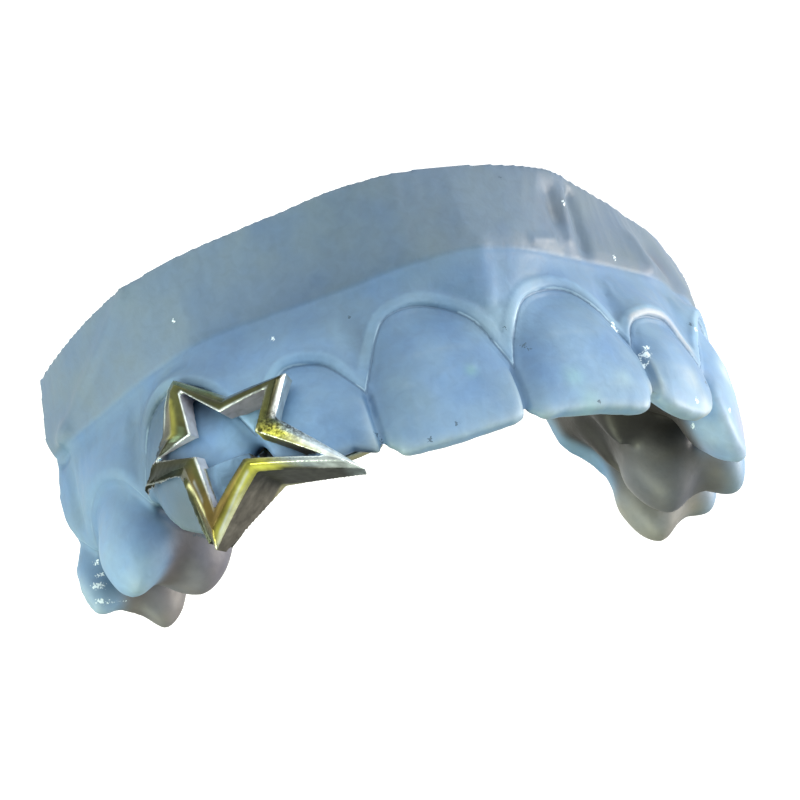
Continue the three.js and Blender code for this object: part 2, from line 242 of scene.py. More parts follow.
# the gum's edge round each crown as (along, up), from tip to tip and from the wearer's left to the right
gumArches = [
    [(-38, 13.3), (-36.6, 12.0), (-35, 10.7), (-33.4, 11.4), (-32.3, 13.0)],
    [
        (-32.3, 13.0), (-31.2, 11.5), (-30.1, 10.5), (-28.4, 10.1), (-26.6, 10.6), (-25.6, 11.6),
        (-24.9, 13.0),
    ],
    [(-24.9, 13.0), (-24.2, 11.2), (-22.6, 8.8), (-20.6, 7.9), (-18.4, 8.8), (-16.9, 11.0), (-16.1, 12.8)],
    [(-16.1, 12.8), (-15.5, 12.0), (-13.8, 9.9), (-12.2, 9.6), (-10.9, 9.8), (-9.8, 10.3), (-9.05, 12.0)],
    [
        (-9.05, 12.0), (-8.4, 10.7), (-6.2, 8.5), (-4.5, 7.9), (-2.8, 8.2), (-1.6, 9.0), (-0.6, 10.9),
        (0.1, 13.0),
    ],
    [
        (0.1, 13.0), (0.7, 11.5), (1.6, 9.7), (3.0, 8.5), (4.7, 7.9), (6.6, 8.2), (7.6, 9.3), (8.7, 11.5),
        (9.2, 12.7),
    ],
    [(9.2, 12.7), (10.4, 11.0), (11.3, 10.1), (12.8, 9.65), (13.8, 9.9), (15.2, 11.5), (16.1, 12.8)],
    [(16.1, 12.8), (16.9, 11.0), (18.4, 8.8), (20.6, 7.9), (22.6, 8.8), (24.2, 11.2), (25.0, 13.3)],
    [(25.0, 13.3), (25.7, 11.6), (26.6, 10.6), (28.4, 10.0), (30.1, 10.5), (31.2, 11.5), (32.2, 12.9)],
    [(32.2, 12.9), (33.4, 11.4), (35, 10.7), (36.6, 12.0), (38, 13.3)],
]


def roundedLine(corners):
    # a smooth curve through the points, with four steps between each two
    ends = np.array([corners[0], *corners, corners[-1]], float)
    line = []
    for before, start, end, after in zip(ends, ends[1:], ends[2:], ends[3:]):
        square = 2 * before - 5 * start + 4 * end - after
        cube = 3 * start - before - 3 * end + after
        for step in np.arange(0, 1, 0.25):
            bend = square * step ** 2 + cube * step ** 3
            line.append(0.5 * (2 * start + (end - before) * step + bend))
    return line


gumLine = [point for arch in gumArches for point in roundedLine(arch)] + [np.array(gumArches[-1][-1])]

# soft ridges and hollows of the base and the gum: a line of (along, up) points, its half width and its lift
softLines = [
    {
        "line": [(21.6, 0), (22.2, 0.6), (25.1, 2.0), (28.3, 3.4), (30.4, 4.7), (31.4, 5.2)],
        "width": 0.5,
        "lift": 0.2,
    },
    {"line": [(30.9, 4.9), (31.5, 5.3)], "width": 0.75, "lift": 0.3},
    {"line": [(31.9, 6.0), (32.8, 6.3)], "width": 0.4, "lift": -0.3},
    {"line": [(0.25, 5.4), (0.4, 6.8), (0.45, 7.6)], "width": 0.6, "lift": 0.12},
    {"line": [(0.45, 8.2), (0.5, 8.6)], "width": 0.45, "lift": 0.1},
    {"line": [(-0.1, 8.9), (1.0, 9.1)], "width": 0.3, "lift": -0.07},
    {"line": [(-6.0, 1.6), (-6.3, 3.2)], "width": 0.7, "lift": -0.3},
    {"line": [(-7.2, 1.2), (-7.0, 4.4)], "width": 0.45, "lift": 0.15},
    {"line": [(-8.4, 1.2), (-8.6, 4.6)], "width": 0.6, "lift": -0.4},
    {"line": [(-3.6, 5.0), (-5.4, 4.7)], "width": 0.35, "lift": 0.14},
    {"line": [(-15.0, 3.0), (-15.6, 4.9)], "width": 0.8, "lift": 0.25},
    {"line": [(-18.6, 2.6), (-19.6, 4.6)], "width": 1.6, "lift": -0.5},
    {"line": [(-9.2, 7.0), (-8.6, 9.2)], "width": 0.5, "lift": 0.12},
    {"line": [(6.4, 14.5), (5.4, 14.2), (4.6, 14.3)], "width": 0.22, "lift": -0.07},
    {"line": [(5.2, 13.7), (4.0, 13.9), (2.9, 13.6)], "width": 0.25, "lift": -0.07},
    {"line": [(4.9, 12.8), (3.8, 12.6), (2.9, 12.8)], "width": 0.25, "lift": 0.05},
    {"line": [(28.0, 15.6), (27.4, 15.4)], "width": 0.3, "lift": -0.08},
]

# how far the biting edges reach past the plain crowns, as (along, lift)
edgeLifts = [
    (-23.0, 0), (-21.0, 0.5), (-18.7, 1.0), (-17.2, 0.8), (-16.2, 0.5), (-15.0, 0.55), (-13.5, 0.8),
    (-12.0, 0.8), (-10.3, 0.55), (-9.3, 0.3), (-8.8, 0.6), (-8.0, 0.6), (-6.5, 0.2), (-5.0, 0), (-2.0, 0),
    (-0.8, 0.3), (0.0, 0.45), (0.6, 0.42), (1.5, 0.2), (3.2, 0.34), (4.5, 0.52), (5.7, 0.62), (6.7, 0.68),
    (7.6, 0.9), (8.3, 1.2), (8.9, 1.6), (9.3, 1.5), (9.9, 0.6), (10.8, 0),
]

# grooves between neighbouring crowns: place along the arch, and the height where the gum between them ends
contacts = [
    (-32.29, 13.0), (-24.85, 13.0), (-16.1, 12.8), (-9.2, 12.0), (0.25, 12.9), (9.15, 12.7),
    (24.9, 13.2), (32.29, 12.9),
]


def lineDistance(place, points, spacing=0.05):
    # distance of each (along, up) place from a chain of points
    points = np.array(points, float)
    lengths = np.concatenate([[0], np.cumsum(np.linalg.norm(np.diff(points, axis=0), axis=1))])
    evenly = np.arange(0, lengths[-1], spacing)
    chain = KDTree(len(evenly))
    for index, at in enumerate(evenly):
        chain.insert((np.interp(at, lengths, points[:, 0]), np.interp(at, lengths, points[:, 1]), 0), index)
    chain.balance()
    return np.array([chain.find((along, up, 0))[2] for along, up in place])


def marginDistance(along, up):
    # distance from the gum's edge, above 0 on the gum and below 0 on the crowns
    far = lineDistance(np.stack([along, up], 1), gumLine)
    return np.where(up < valueAt(along, gumLine), far, -far)


def castRegions(places):
    # arch coordinates, distance from the gum's edge, and 0 inside the arch to 1 outside it
    along, out, up = alongArch(places)
    outside = smoothStep(cast["insideFrom"], cast["outsideFrom"], out)
    return along, out, up, marginDistance(along, up), outside


def frontShare(along):
    # the gum's edge is crisp round the front teeth and soft round the back ones
    return 0.25 + 0.75 * smoothStep(24.5, 22, np.abs(along))


def makeCast():
    piece = copyOfNode("dental_cast", "castBody")
    applyModifier(piece, "REMESH", mode="VOXEL", voxel_size=cast["voxel"] * mm)
    edges = readEdges(piece)
    places = polish(readVectors(piece), edges, cast["polishing"])
    along, out, up = alongArch(places)
    edgeShare = smoothStep(cast["edgeStart"], cast["edgeEnd"], up)
    places[:, 2] += valueAt(along, edgeLifts) * edgeShare * mm

    # back teeth, the ends of the grooves and the inside of the arch are rounded off
    along, out, up, gap, outside = castRegions(places)
    backTeeth = smoothStep(22.5, 25, np.abs(along)) * smoothStep(12.5, 14.5, up)
    rounding = backTeeth
    for contact, _ in contacts:
        rounding = np.maximum(rounding, bell(along, contact, 0.7) * smoothStep(14.5, 16, up))
    rounding = np.maximum(rounding, 0.7 * (1 - outside))
    behindStar = bell(along, 15.9, 1.7) * smoothStep(8.5, 10, up) * smoothStep(17, 15.5, up)
    rounding = np.maximum(rounding, behindStar * outside)
    for _ in range(cast["roundRounds"]):
        places = relax(places, edges, 0.5, rounding)

    # plump back teeth and the broad inner side of the left canine
    writePlaces(piece, places)
    normals = readVectors(piece, "normal")
    canine = smoothStep(-16.5, -18, along) * smoothStep(-25, -23, along)
    canine = canine * smoothStep(13, 15.5, up) * smoothStep(0.5, -1.5, out)
    plump = np.maximum(cast["plumpTeeth"] * backTeeth, cast["plumpCanine"] * canine)
    for contact, _ in contacts:
        plump = plump * (1 - bell(along, contact, 1.1))
    places = places + normals * plump[:, None] * mm
    for _ in range(cast["plumpRounds"]):
        places = relax(places, edges, 0.5, np.maximum(backTeeth, canine))

    # the steps of the plain solid at the gum's edge and the ledge are filled
    filling = outside * np.maximum(bell(gap, -0.25, 1.1), bell(up, cast["ledgeHeight"], 0.8))
    for _ in range(cast["fillRounds"]):
        places = relax(places, edges, 0.5, filling)
    writePlaces(piece, places)

    # gum collar and crease, the ledge's groove, grooves between crowns, soft ridges and hollows
    normals = readVectors(piece, "normal")
    along, out, up, gap, outside = castRegions(places)
    collar = smoothStep(0.02, 0.2, gap) * smoothStep(cast["collarEnd"] + 0.35, cast["collarEnd"], gap)
    crease = cast["creaseDepth"] * bell(gap, 0, cast["creaseWidth"])
    lift = (cast["collarHeight"] * collar - crease) * frontShare(along)
    lift -= 0.05 * bell(gap, -0.35, 0.2)
    lift -= cast["ledgeGroove"] * bell(up, cast["ledgeHeight"], 0.13)
    for contact, tip in contacts:
        groove = cast["contactDepth"] * bell(along, contact, cast["contactWidth"])
        lift -= groove * smoothStep(tip - 0.5, tip + 0.5, up)
    place = np.stack([along, up], 1)
    for soft in softLines:
        ends, margin = np.array(soft["line"]), 3 * soft["width"]
        near = ((place > ends.min(0) - margin) & (place < ends.max(0) + margin)).all(1)
        lift[near] += soft["lift"] * bell(lineDistance(place[near], soft["line"]), 0, soft["width"])
    places = places + normals * (lift * outside)[:, None] * mm
    places[:, 2] = np.maximum(places[:, 2], 0)
    writePlaces(piece, places)
    full = triangleCount(piece)
    applyModifier(piece, "DECIMATE", ratio=cast["kept"])
    pickOnly(piece)
    bpy.ops.object.shade_smooth()
    print("cast:", full, "triangles, cut down to", triangleCount(piece))
    return piece


# painted light and shade on the teeth and on the rim along the arch, colours of the back cusps on their
# inner side as painted warm light and painted shade, and faint tints: lighter and yellowish patches, painted
# shade and painted reflections
toothLight = [
    (-38, 1.1), (-24, 1.1), (-20, 1.2), (-16.5, 1.25), (-15.6, 1.03), (-9.4, 1.03), (-8.6, 1.0), (-5, 1.02),
    (-0.5, 1.12), (0.7, 1.04), (8.5, 1.02), (9.5, 1.2), (15.5, 1.2), (17, 0.95), (19.5, 0.75), (22, 0.55),
    (24.5, 0.75), (25.5, 1.04), (27.5, 1.04), (29, 1.1), (33, 1.1),
]
rimLight = [
    (-38, 0.9), (-20, 0.88), (-12, 0.8), (-5, 0.85), (0, 1), (8, 1), (15, 1.14), (24, 1.04), (38, 1.04),
]
lobeLightAndShadeTones = [
    (-34, (0.19, 0.185, 0.17)),
    (-31, (0.17, 0.165, 0.155)),
    (-29, (0.1, 0.1, 0.105)),
    (-25, (0.1, 0.1, 0.105)),
    (25, (0.12, 0.115, 0.14)),
    (33, (0.15, 0.145, 0.15)),
]
tints = [
    # a lighter patch on the frenum
    {"along": 0.4, "up": 9.6, "width": 1.2, "tone": (0.16, 0.26, 0.36), "share": 0.7},
    # painted shadow of the star on the canine beside it
    {"along": 20.9, "up": 15.2, "width": 2.6, "tone": (0.075, 0.115, 0.145), "share": 0.9},
    # painted shade in two hollows of the rim
    {"along": -19.0, "up": 3.6, "width": 1.1, "tone": (0.09, 0.095, 0.12), "share": 0.6},
    {"along": -6.3, "up": 2.6, "width": 1.0, "tone": (0.09, 0.1, 0.1), "share": 0.5},
    # painted greenish reflections on the front crowns
    {"along": 3.1, "up": 13.05, "width": 0.35, "tone": (0.17, 0.33, 0.3), "share": 0.5},
    {"along": -3.1, "up": 14.3, "width": 0.6, "tone": (0.2, 0.36, 0.33), "share": 0.45},
    {"along": -3.7, "up": 15.9, "width": 0.7, "tone": (0.22, 0.36, 0.33), "share": 0.45},
    {"along": -6.5, "up": 14.6, "width": 0.6, "tone": (0.25, 0.36, 0.4), "share": 0.45},
    # pale yellowish patches
    {"along": -9.0, "up": 15.1, "width": 0.5, "tone": (0.4, 0.42, 0.36), "share": 0.45},
    {"along": -12.6, "up": 14.3, "width": 0.8, "tone": (0.38, 0.41, 0.37), "share": 0.45},
    {"along": -13.6, "up": 15.9, "width": 0.6, "tone": (0.42, 0.44, 0.42), "share": 0.45},
    {"along": -19.3, "up": 12.3, "width": 0.8, "tone": (0.4, 0.45, 0.4), "share": 0.45},
    # painted shade on the left canine
    {"along": -20.0, "up": 15.9, "width": 1.5, "tone": (0.19, 0.2, 0.26), "share": 0.8},
]


def paintCast(piece):
    # broad colour of each region of the cast, and the flat coordinates that the fine detail follows
    places, edges = readVectors(piece), readEdges(piece)
    normals = readVectors(piece, "normal")
    along, out, up, gap, outside = castRegions(places)

    # edges are where a point stands out from the smoothed surface
    soft = places
    for _ in range(cast["bulgeRounds"]):
        soft = relax(soft, edges, 0.5)
    bulge = ((places - soft) * normals).sum(1) / mm

    # crowns with painted shade at their necks, gum with a painted highlight on its collar, rim greyer and in
    # painted shade, painted highlights on the edges, and tints
    tone = np.tile(np.array(cast["crownTone"]), (len(places), 1))
    tone = blendTone(tone, cast["neckShadeTone"], smoothStep(-5.5, -0.5, gap))
    tone = blendTone(tone, cast["gumTone"], smoothStep(-0.1, 0.1, gap))
    collar = smoothStep(0.0, 0.12, gap) * smoothStep(0.85, 0.6, gap)
    tone = blendTone(tone, cast["collarHighlightTone"], collar * frontShare(along))
    rim = smoothStep(cast["ledgeHeight"] + 0.1, cast["ledgeHeight"] - 0.3, up)
    tone = blendTone(tone, cast["rimTone"], rim)
    # painted highlight on the edges that stand out
    sharp = 0.75 * smoothStep(0.02, 0.2, bulge) * smoothStep(0.3, -0.3, gap)
    tone = blendTone(tone, cast["edgeHighlightTone"], sharp)
    roll = smoothStep(-15.9, -15.2, along) * smoothStep(-9.3, -10, along) * smoothStep(0.05, 0.15, gap)
    tone = blendTone(tone, cast["rollTone"], 0.6 * roll * smoothStep(0.55, 0.35, gap))
    for tint in tints:
        share = bell(np.hypot(along - tint["along"], up - tint["up"]), 0, tint["width"])
        tone = blendTone(tone, tint["tone"], tint["share"] * share)
    # painted light and shade along the arch, on the teeth and then on the rim
    tone = tone * (1 + (valueAt(along, toothLight) - 1) * smoothStep(6.5, 8.5, up))[:, None]
    tone = tone * (1 + (valueAt(along, rimLight) - 1) * rim)[:, None]

    # painted shade on the inner sides, deepest behind the front teeth, painted warm light and shade on the
    # inner cusps and painted shade in the valleys between them; the flat cut ends are left out of the
    # painted shade on the inner sides
    lobes = smoothStep(23.5, 26, np.abs(along)) * smoothStep(11.5, 14.5, up)
    lobeLightAndShade = toneAt(along, *zip(*lobeLightAndShadeTones))
    leftInward = smoothStep(0.8, -1.6, out) * smoothStep(-23, -25, along)
    inward = np.maximum(leftInward, smoothStep(-0.8, -2.4, out))
    ends = smoothStep(33, 35.5, np.abs(along))
    inner = (1 - outside) * (1 - ends)
    inward = np.maximum(inner, lobes * inward)
    tone = blendTone(tone, cast["insideShadeTone"], inner)
    tone = blendTone(tone, cast["deepShadeTone"], inner * smoothStep(-2, -8, along))
    tone = blendTone(tone, lobeLightAndShade, inward * lobes)
    valley = 0.7 * lobes * bell(out, -2.5, 0.8) * smoothStep(23, 25, along)
    tone = blendTone(tone, cast["valleyShadeTone"], valley)

    # painted light on the canine inside the open star, lifting the shade that the star throws on it
    framed = bell(np.hypot(along - cast["framedAlong"], up - cast["framedUp"]), 0, 3.6) * outside
    tone = tone * (1 + cast["framedLift"] * framed)[:, None]
    writeTone(piece, tone)
    flat = piece.data.attributes.new("flatPlace", "FLOAT_VECTOR", "POINT")
    flat.data.foreach_set("vector", np.column_stack([along, up, gap]).astype(np.float32).ravel())
    writeValue(piece, "outside", outside)
    writeValue(piece, "crisp", outside * frontShare(along))
    print("cast painted")


castBody = makeCast()
paintCast(castBody)


# star grill; lengths in millimetres, turns in degrees, reaches as shares of the star's reach

star = {
    "slot": "pale_gold",
    "voxel": 0.08,
    "polishing": 4,
    "middleAlong": 17.3,
    "middleUp": 13.0,
    "reach": 8.2,
    "ridgeWidth": 0.09,
    "edgeWidth": 0.12,
    "floorTone": (0.135, 0.22, 0.33),
    "backTone": (0.42, 0.4, 0.24),
    "tipDrop": 0.85,
    "widening": 0.22,
    "wallRounds": 25,
}

# outer corners and the corners of the inner ridge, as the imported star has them: (turn, reach)
starOuter = [
    (-121, 0.72), (-114, 0.73), (-72, 0.32), (-29, 0.6), (0, 0.38), (33, 0.99), (63, 0.36), (116, 0.75),
    (172, 0.44), (188, 1.0), (213, 0.56),
]
starRidge = [
    (-115, 0.53), (-112, 0.53), (-75, 0.19), (-28, 0.44), (16, 0.255), (33, 0.76), (60, 0.255), (116, 0.48),
    (173, 0.21), (195, 0.63), (215, 0.25),
]

# colours of the painted reflections and highlights on the polished gold
reflectionTones = {
    "white": (0.85, 0.92, 0.92),
    "cream": (0.82, 0.8, 0.4),
    "lemon": (0.75, 0.74, 0.12),
    "yellow": (0.47, 0.45, 0.09),
    "brightSilver": (0.45, 0.55, 0.57),
    "silver": (0.3, 0.36, 0.4),
    "lavender": (0.21, 0.29, 0.36),
    "green": (0.13, 0.18, 0.1),
    "olive": (0.13, 0.135, 0.045),
    "charcoal": (0.085, 0.09, 0.045),
    "darkGreen": (0.055, 0.07, 0.055),
    "copper": (0.21, 0.145, 0.04),
    "pearl": (0.36, 0.35, 0.4),
    "brightPearl": (0.5, 0.53, 0.6),
    "duskPearl": (0.22, 0.21, 0.25),
    "web": (0.1, 0.093, 0.08),
    "shadow": (0.045, 0.045, 0.04),
}

# bands of painted reflection round the star. Stations count its corners, and each row names the tones from
# the outer edge to the ridge, then the strength of the painted highlight line on each of the two
reflectionBands = [
    (0.0, "olive", "olive", "olive", "olive", 0.7, 0.9),
    (1.0, "green", "green", "olive", "charcoal", 0.3, 0.7),
    (1.5, "green", "olive", "charcoal", "charcoal", 0.0, 0.6),
    (2.0, "lavender", "charcoal", "charcoal", "olive", 0.0, 0.6),
    (2.5, "lavender", "charcoal", "charcoal", "olive", 0.0, 1.0),
    (2.98, "green", "olive", "charcoal", "charcoal", 0.2, 0.6),
    (3.02, "white", "olive", "charcoal", "charcoal", 0.9, 0.1),
    (3.5, "brightSilver", "olive", "olive", "olive", 0.9, 0.0),
    (3.8, "silver", "olive", "olive", "olive", 0.3, 0.0),
    (4.0, "silver", "green", "olive", "yellow", 0.0, 0.2),
    (4.2, "lavender", "olive", "yellow", "yellow", 0.0, 0.5),
    (4.5, "silver", "brightSilver", "lemon", "lemon", 0.0, 0.7),
    (4.8, "brightSilver", "white", "white", "cream", 0.2, 0.8),
    (5.0, "white", "white", "white", "white", 0.3, 0.5),
    (5.25, "web", "silver", "white", "brightSilver", 0.0, 0.3),
    (5.5, "shadow", "yellow", "cream", "yellow", 0.0, 0.2),
    (5.65, "yellow", "lemon", "lemon", "yellow", 0.0, 0.1),
    (6.0, "yellow", "lemon", "yellow", "charcoal", 0.0, 0.0),
    (6.3, "yellow", "lemon", "yellow", "charcoal", 0.1, 0.0),
    (6.75, "cream", "yellow", "copper", "olive", 0.3, 0.0),
    (6.97, "cream", "yellow", "copper", "copper", 0.4, 0.0),
    (7.03, "charcoal", "copper", "copper", "copper", 0.0, 0.2),
    (7.5, "darkGreen", "olive", "copper", "olive", 0.0, 1.0),
    (8.0, "darkGreen", "charcoal", "charcoal", "olive", 0.1, 0.5),
    (8.3, "charcoal", "darkGreen", "darkGreen", "charcoal", 0.6, 0.0),
    (8.7, "charcoal", "darkGreen", "darkGreen", "charcoal", 0.4, 0.0),
    (9.0, "darkGreen", "darkGreen", "charcoal", "charcoal", 0.0, 0.8),
    (9.5, "darkGreen", "charcoal", "charcoal", "charcoal", 0.0, 1.0),
    (10.0, "olive", "charcoal", "olive", "charcoal", 0.0, 1.0),
    (10.5, "green", "copper", "olive", "olive", 0.6, 0.9),
    (11.0, "olive", "olive", "olive", "olive", 0.7, 0.9),
]
bandPlaces = [0.07, 0.28, 0.55, 0.85]  # where the four tones lie on the way across

# thin painted reflections and painted shadow streaks along the faces: tone, strength, width as a share of
# the face, and (station, across)
starStrokes = [
    ("cream", 0.75, 0.07, [(7.12, 0.45), (7.4, 0.42), (7.72, 0.3)]),
    ("silver", 0.4, 0.05, [(7.2, 0.62), (7.6, 0.6)]),
    ("yellow", 0.35, 0.12, [(9.75, 0.45), (10.4, 0.5), (10.9, 0.42)]),
    ("green", 0.5, 0.12, [(9.6, 0.72), (10.3, 0.75)]),
    ("shadow", 0.5, 0.08, [(1.1, 0.55), (1.9, 0.5)]),
    ("shadow", 0.4, 0.1, [(2.2, 0.42), (2.9, 0.45)]),
    ("shadow", 0.5, 0.12, [(10.2, 0.2), (10.8, 0.25)]),
    ("copper", 0.6, 0.12, [(6.2, 0.75), (6.6, 0.7), (6.95, 0.75)]),
    ("white", 0.6, 0.06, [(6.1, 0.36), (6.5, 0.3), (6.95, 0.16)]),
]

# painted reflections and painted shade on the walls from the ridge down to the tooth, and from the outer
# edge down
starWalls = [
    (0.0, "pearl", "shadow"),
    (1.0, "duskPearl", "shadow"),
    (2.0, "duskPearl", "charcoal"),
    (2.9, "duskPearl", "charcoal"),
    (3.1, "web", "lavender"),
    (4.0, "yellow", "lavender"),
    (4.3, "olive", "lavender"),
    (4.9, "web", "silver"),
    (5.1, "shadow", "shadow"),
    (5.5, "web", "shadow"),
    (6.0, "web", "shadow"),
    (6.4, "duskPearl", "web"),
    (7.0, "pearl", "web"),
    (7.1, "brightPearl", "shadow"),
    (7.9, "brightPearl", "shadow"),
    (8.1, "brightPearl", "brightPearl"),
    (8.9, "pearl", "pearl"),
    (9.1, "duskPearl", "shadow"),
    (10.0, "brightPearl", "shadow"),
    (10.5, "brightPearl", "shadow"),
    (11.0, "pearl", "shadow"),
]

# light that each face meets, as (station, at its outer half, at its ridge); the tones are divided by it
faceLight = [
    (0.5, 1.2, 1.9), (1.5, 0.9, 2.2), (2.5, 1.2, 2.2), (3.2, 8.0, 1.6), (3.8, 6.0, 2.0), (4.1, 2.0, 3.0),
    (4.5, 1.8, 2.0), (5.0, 0.9, 1.3), (5.5, 0.8, 2.0), (6.2, 0.9, 1.6), (6.7, 0.9, 1.8), (7.5, 2.0, 2.4),
    (8.3, 1.6, 2.4), (9.0, 6.0, 5.0), (9.5, 5.0, 4.0), (10.0, 4.5, 3.0), (10.5, 2.2, 2.1),
]


def ringReach(turns, corners):
    # how far the closed outline through the corners lies from the middle, in each direction
    ring = corners + [(corners[0][0] + 360, corners[0][1])]
    turns = (turns - corners[0][0]) % 360 + corners[0][0]
    reach = np.ones(len(turns))
    for (fromTurn, fromReach), (toTurn, toReach) in zip(ring, ring[1:]):
        here = (turns >= fromTurn) & (turns <= toTurn)
        ahead, span = np.radians(turns[here] - fromTurn), math.radians(toTurn - fromTurn)
        across = fromReach * toReach * math.sin(span)
        reach[here] = across / (fromReach * np.sin(ahead) + toReach * np.sin(span - ahead))
    return reach


def starPlaces(places):
    # station round the star, share of the way from the outer edge (0) to the ridge (1), distances in from
    # the outer edge and out from the ridge, and distance out from the arch
    along, out, up = alongArch(places)
    beside, above = star["middleAlong"] - along, up - star["middleUp"]
    far = np.hypot(beside, above) / star["reach"]
    turns = (np.degrees(np.arctan2(above, beside)) - starOuter[0][0]) % 360 + starOuter[0][0]
    outer, ridge = ringReach(turns, starOuter), ringReach(turns, starRidge)
    across = (outer - far) / (outer - ridge)
    share = np.clip(across, 0, 1)
    bounds = [a[0] + (b[0] - a[0]) * share for a, b in zip(starOuter, starRidge)]
    bounds.append(bounds[0] + 360)
    turns = np.where(turns < bounds[0], turns + 360, turns)
    station = np.zeros(len(turns))
    for index in range(len(starOuter)):
        here = (turns >= bounds[index]) & (turns <= bounds[index + 1])
        width = np.maximum(bounds[index + 1] - bounds[index], 1e-3)
        station[here] = index + ((turns - bounds[index]) / width)[here]
    return station, across, (outer - far) * star["reach"], (far - ridge) * star["reach"], out


def bandTones(station, rows, column):
    return toneAt(station, [row[0] for row in rows], [reflectionTones[row[column]] for row in rows])


def makeStar():
    piece = copyOfNode("star_grill", "starGrill")
    applyModifier(piece, "REMESH", mode="VOXEL", voxel_size=star["voxel"] * mm)
    places, edges = readVectors(piece), readEdges(piece)
    places = polish(places, edges, star["polishing"])

    # the outer edge of the rear arm lies nearer the biting edges than its ridge does, and is wider
    station, across, fromEdge, fromRidge, out = starPlaces(places)
    along = alongArch(places)[0]
    ahead = archVectors(along, archAhead)
    places[:, 2] += star["tipDrop"] * bell(station, 9, 0.45) * smoothStep(1, 0, across) * mm
    widening = smoothStep(8.4, 9, station) * smoothStep(11, 10.7, station) * smoothStep(1, 0, across)
    places[:, :2] += ahead * (star["widening"] * widening * mm)[:, None]

    # the ends of its walls, next to the teeth, are smoothed
    low = smoothStep(0.3, 0.05, across) * bell(station, 9, 0.9)
    for _ in range(star["wallRounds"]):
        places = relax(places, edges, 0.5, low * smoothStep(2.4, 1.6, out))
    writePlaces(piece, places)
    pickOnly(piece)
    bpy.ops.object.shade_smooth()
    print("star:", triangleCount(piece), "triangles")
    return piece


def paintStar(piece):
    # painted reflections on the gold: lemon and olive on the faces, silver on the inner walls, painted shade
    # on the dull dark outer walls
    places = readVectors(piece)
    station, across, fromEdge, fromRidge, out = starPlaces(places)
    normals = relax(readVectors(piece, "normal"), readEdges(piece), 0.5)
    outward = archVectors(alongArch(places)[0], archOutward)
    facing = (normals[:, :2] * outward).sum(1)

    # faces
    tone = bandTones(station, reflectionBands, 1)
    for column, (low, high) in enumerate(zip(bandPlaces, bandPlaces[1:])):
        tone = blendTone(tone, bandTones(station, reflectionBands, column + 2), smoothStep(low, high, across))
    stops, *halves = zip(*faceLight)
    atEdge, atRidge = (np.interp(station, stops, half, period=len(starOuter)) for half in halves)
    tone = tone / (atEdge + (atRidge - atEdge) * smoothStep(0.3, 0.6, across))[:, None]
    for name, strength, width, stroke in starStrokes:
        near = np.interp(station, [point[0] for point in stroke], [point[1] for point in stroke])
        inside = smoothStep(stroke[0][0] - 0.02, stroke[0][0] + 0.05, station)
        inside = inside * smoothStep(stroke[-1][0] + 0.02, stroke[-1][0] - 0.05, station)
        tone = blendTone(tone, reflectionTones[name], strength * inside * bell(across, near, width))
    # the white lines along the ridge and the outer edge are painted highlights
    high = smoothStep(0.2, 0.6, facing)
    stops = [row[0] for row in reflectionBands]
    edgeLine, ridgeLine = (np.interp(station, stops, [row[k] for row in reflectionBands]) for k in (5, 6))
    ridgeLine = high * ridgeLine * bell(fromRidge, 0.03, star["ridgeWidth"])
    edgeLine = high * edgeLine * bell(fromEdge, 0.08, star["edgeWidth"])
    tone = blendTone(tone, reflectionTones["white"], ridgeLine)
    tone = blendTone(tone, reflectionTones["white"], edgeLine)

    # walls in painted reflection and painted shade, the small floor in the lower arm and the plate behind
    # the teeth
    wall = smoothStep(0.5, 0.25, facing)
    inner = smoothStep(0.5, 0.7, across)
    floor = smoothStep(-0.1, -0.25, fromRidge)
    tones = [bandTones(station, starWalls, column) for column in (1, 2)]
    tone = blendTone(tone, blendTone(tones[1], tones[0], inner), wall)
    tone = blendTone(tone, star["floorTone"], floor * (1 - wall))
    behind = smoothStep(-1.3, -1.8, out)
    tone = blendTone(tone, star["backTone"], behind)
    wall = wall * (1 - behind)
    floor = floor * (1 - behind)
    writeTone(piece, tone)
    writeValue(piece, "wall", np.maximum(wall, floor))
    writeValue(piece, "outerWall", wall * (1 - inner))
    writeValue(piece, "grainy", bell(station, 4.15, 0.45) * (1 - wall) * (1 - behind))
    print("star painted")


starGrill = makeStar()
paintStar(starGrill)


# materials

def newMaterial(name):
    material = bpy.data.materials.new(name)
    material.use_nodes = True
    nodes = material.node_tree.nodes
    return material, nodes, material.node_tree.links, nodes["Principled BSDF"]


def addNode(nodes, kind, plugs=None, **settings):
    # a node with its settings; each plug is a value or another node's output
    node = nodes.new("ShaderNode" + kind)
    for name, value in settings.items():
        setattr(node, name, value)
    for name, value in (plugs or {}).items():
        if isinstance(value, bpy.types.NodeSocket):
            nodes.id_data.links.new(value, node.inputs[name])
        else:
            node.inputs[name].default_value = value
    return node


def readAttribute(nodes, name, output="Fac"):
    return addNode(nodes, "Attribute", attribute_name=name).outputs[output]


def blendColor(nodes, share, first, second, kind="MIX"):
    node = addNode(nodes, "Mix", data_type="RGBA", blend_type=kind)
    for index, value in ((0, share), (6, first), (7, second)):
        if isinstance(value, bpy.types.NodeSocket):
            nodes.id_data.links.new(value, node.inputs[index])
        else:
            node.inputs[index].default_value = value
    return node.outputs[2]


def multiplied(nodes, color, factor):
    return blendColor(nodes, 1.0, color, factor, "MULTIPLY")


def softRange(nodes, value, low, high):
    # 0 to 1 as the value goes from low to high, clamped
    plugs = {"Value": value, "From Min": low, "From Max": high}
    return addNode(nodes, "MapRange", plugs, interpolation_type="SMOOTHSTEP").outputs["Result"]


def carried(nodes, value, fromLow, fromHigh, low, high):
    # the value carried from one range onto another, clamped
    plugs = {"Value": value, "From Min": fromLow, "From Max": fromHigh, "To Min": low, "To Max": high}
    return addNode(nodes, "MapRange", plugs).outputs["Result"]


def work(nodes, operation, first, second=0.0):
    return addNode(nodes, "Math", {0: first, 1: second}, operation=operation).outputs[0]


